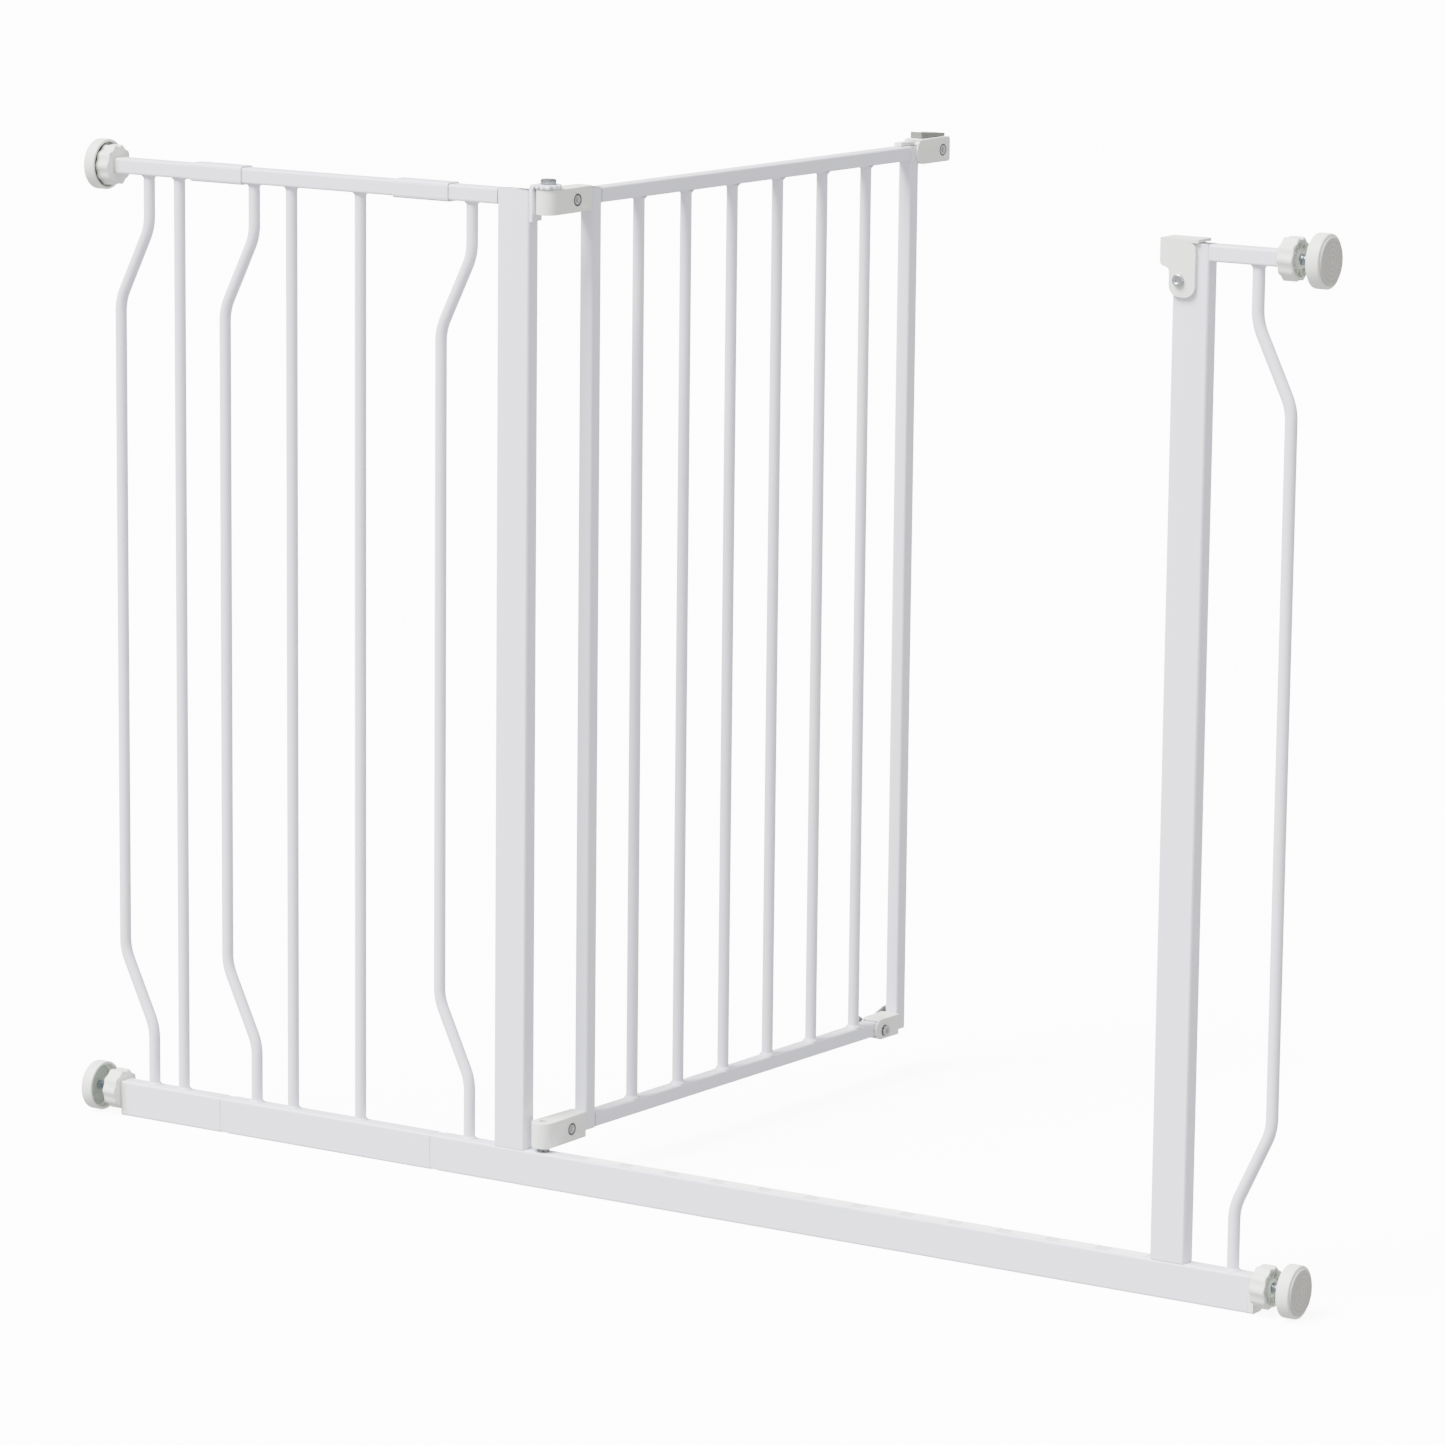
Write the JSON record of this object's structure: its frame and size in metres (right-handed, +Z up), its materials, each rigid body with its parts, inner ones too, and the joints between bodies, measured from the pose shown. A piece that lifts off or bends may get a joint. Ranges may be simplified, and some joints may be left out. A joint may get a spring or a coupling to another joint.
{
  "type": "pet_gate",
  "caption": "Pressure-fit pet gate with a swinging barred door, side extension panels, lobed hand nuts and padded wall cups.",
  "frame": {"origin": "On the floor at the middle of the rails' one metre, in the frame's mid-plane.", "axes": "+X runs along the gate to the latch end, +Y through the gate to the side the door opens to, +Z up."},
  "size_m": [1.076, 0.5358, 0.7735],
  "materials": {
    "steel": "white powder coat, satin with a fine orange peel",
    "plastic": "moulded off-white plastic",
    "grey": "moulded mid-grey plastic",
    "zinc": "bright zinc plate"
  },
  "bodies": {
    "frame": {"main_bottom_rail": "steel", "left_post": "steel", "right_post": "steel", "main_top_rail_left": "steel", "main_top_rail_right": "steel", "main_bow_rod_left": "steel", "main_bow_rod_right": "steel", "ext_b_bottom_rail": "steel", "ext_b_top_rail": "steel", "ext_b_bow_rod": "steel", "ext_b_rod_1": "steel", "ext_b_rod_2": "steel", "ext_a_bottom_rail": "steel", "ext_a_top_rail": "steel", "ext_a_bow_rod": "steel", "ext_a_rod": "steel", "sleeve_a": "steel", "sleeve_b": "steel", "hinge_bracket": "steel", "hinge_bolt": "zinc", "lower_hinge_pin": "zinc", "catch_screw": "zinc", "catch_housing": "plastic", "plug_top_left": "plastic", "plug_bottom_left": "plastic", "plug_top_right": "plastic", "plug_bottom_right": "plastic"},
    "door": {"door_hinge_stile": "steel", "door_latch_stile": "steel", "door_bottom_rail": "steel", "door_top_rail": "steel", "door_rod_1": "steel", "door_rod_2": "steel", "door_rod_3": "steel", "door_rod_4": "steel", "door_rod_5": "steel", "door_rod_6": "steel", "upper_hinge_block": "plastic", "lower_hinge_block": "plastic", "latch_housing": "plastic", "corner_boss": "plastic", "upper_hinge_screw": "zinc", "lower_hinge_screw": "zinc", "latch_screw": "zinc", "corner_boss_screw": "zinc"},
    "latch": {"latch_bolt": "plastic", "latch_slider": "grey"},
    "lever": {"bottom_lever": "grey"},
    "nut_top_left": {"nut_top_left": "plastic"},
    "spindle_top_left": {"spindle_top_left": "zinc", "cup_top_left": "plastic"},
    "nut_bottom_left": {"nut_bottom_left": "plastic"},
    "spindle_bottom_left": {"spindle_bottom_left": "zinc", "cup_bottom_left": "plastic"},
    "nut_top_right": {"nut_top_right": "plastic"},
    "spindle_top_right": {"spindle_top_right": "zinc", "cup_top_right": "plastic"},
    "nut_bottom_right": {"nut_bottom_right": "plastic"},
    "spindle_bottom_right": {"spindle_bottom_right": "zinc", "cup_bottom_right": "plastic"}
  },
  "joints": [
    {"name": "door_swing", "type": "hinge", "parent": "frame", "child": "door", "pos_m": [-0.107, 0, 0.395], "axis": [0, 0, 1], "range_deg": [-86, 14]},
    {"name": "latch_slide", "type": "slide", "parent": "door", "child": "latch", "axis": [0.0698, 0.9976, 0], "range_m": [0, 0.009]},
    {"name": "lever_turn", "type": "hinge", "parent": "door", "child": "lever", "pos_m": [-0.0761, 0.44192, 0.04], "axis": [-0.9976, 0.0698, 0], "range_deg": [-10, 10]},
    {"name": "top_left_nut_turn", "type": "hinge", "parent": "frame", "child": "nut_top_left", "pos_m": [-0.5106, 0, 0.754], "axis": [-1, 0, 0], "range_deg": [-1008, 6288]},
    {"name": "top_left_spindle_slide", "type": "slide", "parent": "frame", "child": "spindle_top_left", "axis": [-1, 0, 0], "range_m": [-0.004, 0.026]},
    {"name": "bottom_left_nut_turn", "type": "hinge", "parent": "frame", "child": "nut_bottom_left", "pos_m": [-0.5106, 0, 0.02], "axis": [-1, 0, 0], "range_deg": [-3408, 3888]},
    {"name": "bottom_left_spindle_slide", "type": "slide", "parent": "frame", "child": "spindle_bottom_left", "axis": [-1, 0, 0], "range_m": [-0.014, 0.016]},
    {"name": "top_right_nut_turn", "type": "hinge", "parent": "frame", "child": "nut_top_right", "pos_m": [0.5106, 0, 0.754], "axis": [1, 0, 0], "range_deg": [-4368, 2928]},
    {"name": "top_right_spindle_slide", "type": "slide", "parent": "frame", "child": "spindle_top_right", "axis": [1, 0, 0], "range_m": [-0.018, 0.012]},
    {"name": "bottom_right_nut_turn", "type": "hinge", "parent": "frame", "child": "nut_bottom_right", "pos_m": [0.5106, 0, 0.02], "axis": [1, 0, 0], "range_deg": [-4128, 3168]},
    {"name": "bottom_right_spindle_slide", "type": "slide", "parent": "frame", "child": "spindle_bottom_right", "axis": [1, 0, 0], "range_m": [-0.017, 0.013]}
  ],
  "couplings": [
    {"joint": "top_left_nut_turn", "follows": "top_left_spindle_slide", "rad_per_m": 4188.8},
    {"joint": "bottom_left_nut_turn", "follows": "bottom_left_spindle_slide", "rad_per_m": 4188.8},
    {"joint": "top_right_nut_turn", "follows": "top_right_spindle_slide", "rad_per_m": 4188.8},
    {"joint": "bottom_right_nut_turn", "follows": "bottom_right_spindle_slide", "rad_per_m": 4188.8}
  ]
}
